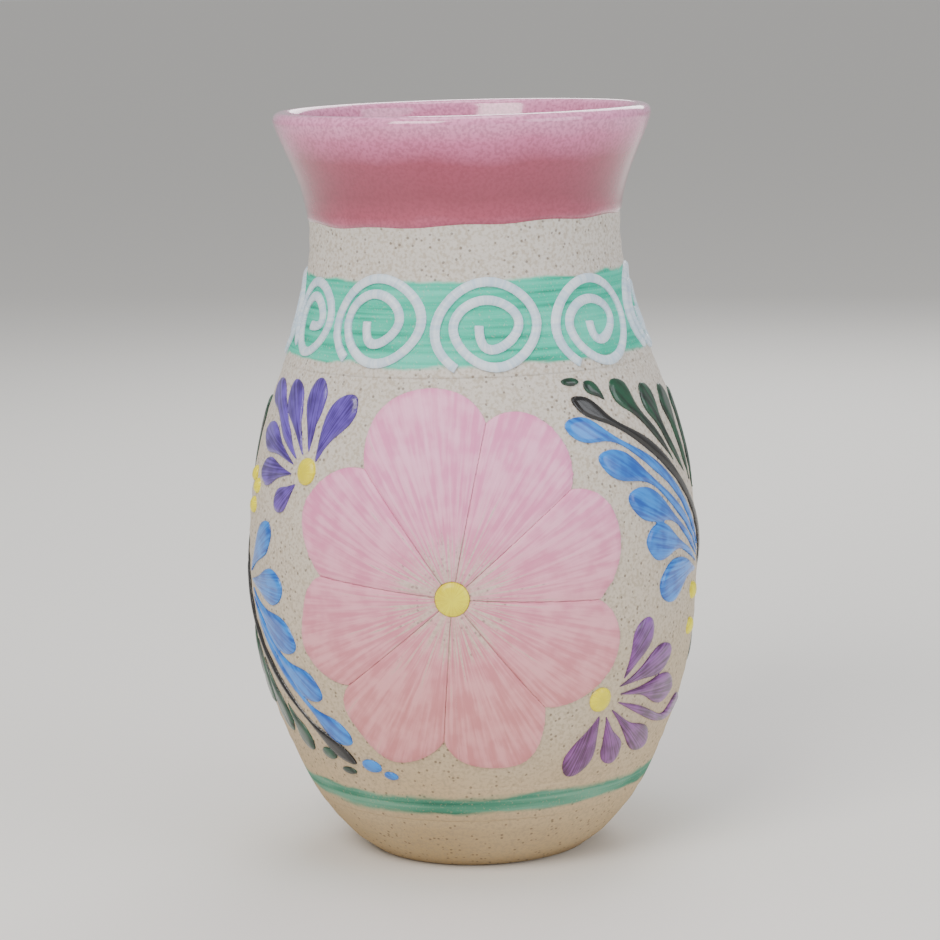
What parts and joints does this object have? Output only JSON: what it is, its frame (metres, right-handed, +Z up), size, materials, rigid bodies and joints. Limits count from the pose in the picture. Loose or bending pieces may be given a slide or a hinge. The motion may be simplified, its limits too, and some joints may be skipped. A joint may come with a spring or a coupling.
{
  "type": "vase",
  "caption": "Round-bellied pottery vase with a flared glazed neck and raised hand-painted flowers, leaves and scrolls.",
  "frame": {"origin": "middle of the foot, on the surface the vase stands on", "axes": "+Z up along the vase's axis; the painted front faces -Y, +X is to the viewer's right"},
  "size_m": [0.154, 0.155, 0.25],
  "materials": {
    "bisque_clay": "matt fired clay, fine dark sand in it",
    "black_enamel": "black, glossy",
    "blue_enamel": "thick brushed blue, glossy",
    "green_enamel": "thick dark green, glossy",
    "green_wash": "brushed matt colour",
    "pink_enamel": "thick brushed pink, satin",
    "purple_enamel": "thick brushed purple, glossy",
    "raspberry_glaze": "glossy transparent raspberry glaze",
    "teal_wash": "brushed matt colour",
    "white_slip": "trailed white slip, satin",
    "yellow_enamel": "thick yellow, satin"
  },
  "bodies": {
    "root": {"back_flower_centre": "yellow_enamel", "back_left_dots": "yellow_enamel", "back_lower_blue_leaves": "blue_enamel", "back_lower_fan": "purple_enamel", "back_lower_fan_dot": "yellow_enamel", "back_lower_green_leaves": "green_enamel", "back_lower_stem": "black_enamel", "back_petal_1": "pink_enamel", "back_petal_2": "pink_enamel", "back_petal_3": "pink_enamel", "back_petal_4": "pink_enamel", "back_petal_5": "pink_enamel", "back_petal_6": "pink_enamel", "back_petal_7": "pink_enamel", "back_petal_8": "pink_enamel", "back_right_dots": "yellow_enamel", "back_scroll_1": "white_slip", "back_scroll_2": "white_slip", "back_scroll_3": "white_slip", "back_scroll_4": "white_slip", "back_scroll_5": "white_slip", "back_upper_blue_leaves": "blue_enamel", "back_upper_fan": "purple_enamel", "back_upper_fan_dot": "yellow_enamel", "back_upper_green_leaves": "green_enamel", "back_upper_stem": "black_enamel", "foot_band": "green_wash", "front_flower_centre": "yellow_enamel", "front_left_dots": "yellow_enamel", "front_lower_blue_leaves": "blue_enamel", "front_lower_fan": "purple_enamel", "front_lower_fan_dot": "yellow_enamel", "front_lower_green_leaves": "green_enamel", "front_lower_stem": "black_enamel", "front_petal_1": "pink_enamel", "front_petal_2": "pink_enamel", "front_petal_3": "pink_enamel", "front_petal_4": "pink_enamel", "front_petal_5": "pink_enamel", "front_petal_6": "pink_enamel", "front_petal_7": "pink_enamel", "front_petal_8": "pink_enamel", "front_right_dots": "yellow_enamel", "front_scroll_1": "white_slip", "front_scroll_2": "white_slip", "front_scroll_3": "white_slip", "front_scroll_4": "white_slip", "front_scroll_5": "white_slip", "front_upper_blue_leaves": "blue_enamel", "front_upper_fan": "purple_enamel", "front_upper_fan_dot": "yellow_enamel", "front_upper_green_leaves": "green_enamel", "front_upper_stem": "black_enamel", "liner_glaze": "raspberry_glaze", "rim_glaze": "raspberry_glaze", "scroll_band": "teal_wash", "vase_body": "bisque_clay"}
  },
  "joints": []
}
